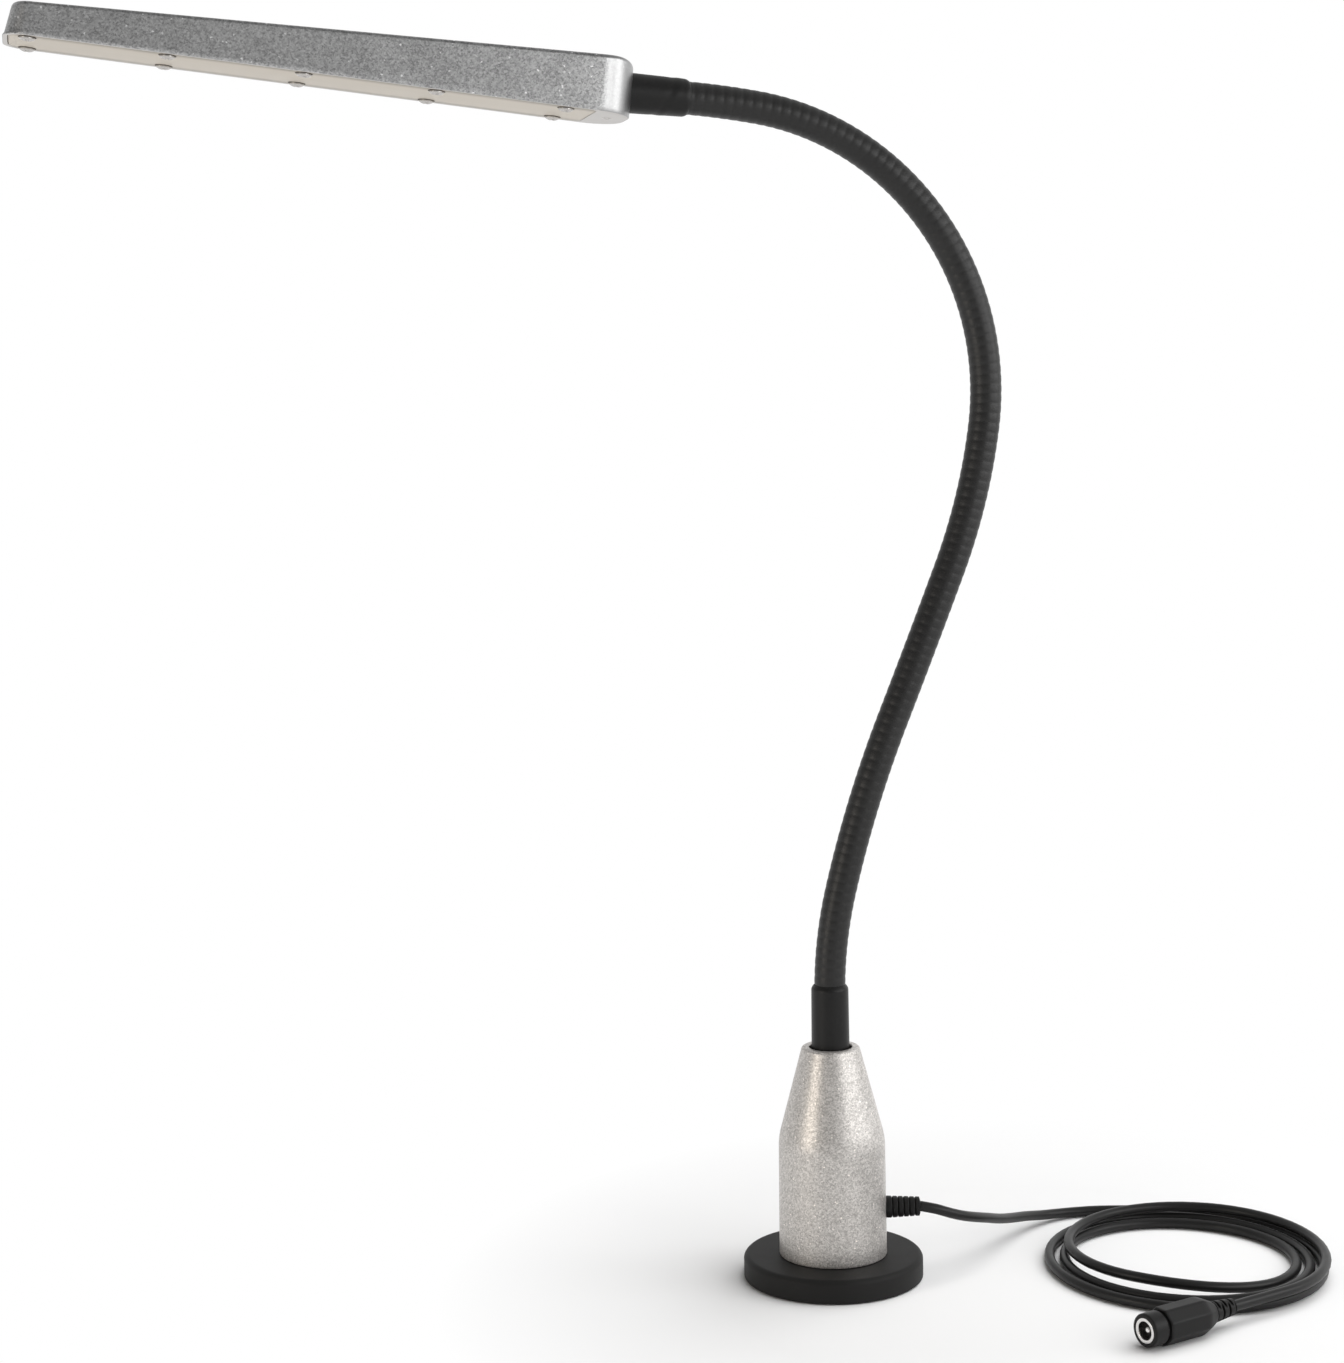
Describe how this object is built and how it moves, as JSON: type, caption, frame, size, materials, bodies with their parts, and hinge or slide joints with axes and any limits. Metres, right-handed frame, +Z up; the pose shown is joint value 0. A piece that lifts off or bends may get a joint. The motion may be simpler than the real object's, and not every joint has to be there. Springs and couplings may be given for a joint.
{
  "type": "magnetic work light",
  "caption": "Wedge-shaped LED head on a ribbed gooseneck, over a cone-topped base with a round rubber-coated magnet foot and a coiled cord that ends in an inline barrel socket.",
  "frame": {"origin": "centre of the magnet's underside, on the floor", "axes": "+Z up along the base's axis; the neck bends in the XZ plane and the head reaches towards -X; the cord leaves towards +X"},
  "size_m": [0.4578, 0.1462, 0.4516],
  "materials": {
    "rubber": "matte moulded rubber",
    "silver_cast": "grainy silver coat on a heavy casting",
    "silver_aluminium": "grainy silver cast aluminium",
    "plain_aluminium": "plain aluminium",
    "steel": "plain steel",
    "brass": "plain brass",
    "black_plastic": "matte black plastic",
    "board_green": "green circuit board",
    "dark_parts": "dark moulded parts",
    "board_white": "white circuit board",
    "led_yellow": "yellow phosphor",
    "pad_grey": "soft grey pad",
    "lens_frosted": "frosted cream plastic",
    "screw_steel": "bright steel",
    "nickel": "nickel plate",
    "cord_black": "soft black cord jacket"
  },
  "bodies": {
    "base": {"magnet_rubber_coat": "rubber", "magnet_backing_plate": "steel", "magnet_discs": "steel", "magnet_stud": "steel", "base_body": "silver_cast", "base_plug": "plain_aluminium", "cord_gland": "black_plastic", "driver_board": "board_green", "driver_components": "dark_parts", "supply_lead": "cord_black", "lower_ferrule": "brass", "lower_ferrule_nut": "steel", "lower_sleeve": "black_plastic", "neck_sheath_1": "black_plastic", "neck_core_1": "steel", "neck_lead_1": "cord_black", "cord_lead": "cord_black", "cord_coil": "cord_black", "cord_tail": "cord_black", "socket_relief": "black_plastic", "socket_body": "black_plastic", "socket_collar": "black_plastic", "socket_barrel": "nickel", "socket_insulator": "dark_parts", "socket_pin": "brass"},
    "neck_2": {"neck_sheath_2": "black_plastic", "neck_core_2": "steel", "neck_lead_2": "cord_black"},
    "neck_3": {"neck_sheath_3": "black_plastic", "neck_core_3": "steel", "neck_lead_3": "cord_black"},
    "neck_4": {"neck_sheath_4": "black_plastic", "neck_core_4": "steel", "neck_lead_4": "cord_black"},
    "neck_5": {"neck_sheath_5": "black_plastic", "neck_core_5": "steel", "neck_lead_5": "cord_black"},
    "neck_6": {"neck_sheath_6": "black_plastic", "neck_core_6": "steel", "neck_lead_6": "cord_black"},
    "neck_7": {"neck_sheath_7": "black_plastic", "neck_core_7": "steel", "neck_lead_7": "cord_black"},
    "neck_8": {"neck_sheath_8": "black_plastic", "neck_core_8": "steel", "neck_lead_8": "cord_black"},
    "head": {"neck_sheath_9": "black_plastic", "neck_core_9": "steel", "neck_lead_9": "cord_black", "upper_sleeve": "black_plastic", "upper_ferrule": "brass", "head_grub_screw": "steel", "head_housing": "silver_aluminium", "led_board": "board_white", "led_chips": "led_yellow", "thermal_pad": "pad_grey", "lens_gasket": "pad_grey", "lens_cover": "lens_frosted", "lens_screws": "screw_steel"}
  },
  "joints": [
    {"name": "neck_lower_bend", "type": "hinge", "parent": "base", "child": "neck_2", "pos_m": [0.00279, 0, 0.13482], "axis": [0, -1, 0], "range_deg": [-25, 15]},
    {"name": "neck_lower_sideways", "type": "hinge", "parent": "neck_2", "child": "neck_3", "pos_m": [0.01615, 0, 0.18148], "axis": [-0.9428, 0, 0.3332], "range_deg": [-25, 25]},
    {"name": "neck_lower_bend_2", "type": "hinge", "parent": "neck_3", "child": "neck_4", "pos_m": [0.03432, 0, 0.22652], "axis": [0, -1, 0], "range_deg": [-25, 15]},
    {"name": "neck_lower_sideways_2", "type": "hinge", "parent": "neck_4", "child": "neck_5", "pos_m": [0.05231, 0, 0.27163], "axis": [-0.9483, 0, 0.3175], "range_deg": [-25, 25]},
    {"name": "neck_upper_bend", "type": "hinge", "parent": "neck_5", "child": "neck_6", "pos_m": [0.06226, 0, 0.31904], "axis": [0, -1, 0], "range_deg": [-25, 20]},
    {"name": "neck_upper_sideways", "type": "hinge", "parent": "neck_6", "child": "neck_7", "pos_m": [0.05319, 0, 0.36628], "axis": [-0.9083, 0, -0.4182], "range_deg": [-25, 25]},
    {"name": "neck_upper_bend_2", "type": "hinge", "parent": "neck_7", "child": "neck_8", "pos_m": [0.0232, 0, 0.40388], "axis": [0, -1, 0], "range_deg": [-25, 20]},
    {"name": "neck_upper_sideways_2", "type": "hinge", "parent": "neck_8", "child": "head", "pos_m": [-0.02084, 0, 0.42322], "axis": [-0.1712, 0, -0.9852], "range_deg": [-25, 25]}
  ],
  "couplings": [
    {"joint": "neck_lower_bend_2", "follows": "neck_lower_bend", "ratio": 1},
    {"joint": "neck_lower_sideways_2", "follows": "neck_lower_sideways", "ratio": 1},
    {"joint": "neck_upper_bend_2", "follows": "neck_upper_bend", "ratio": 1},
    {"joint": "neck_upper_sideways_2", "follows": "neck_upper_sideways", "ratio": 1}
  ]
}
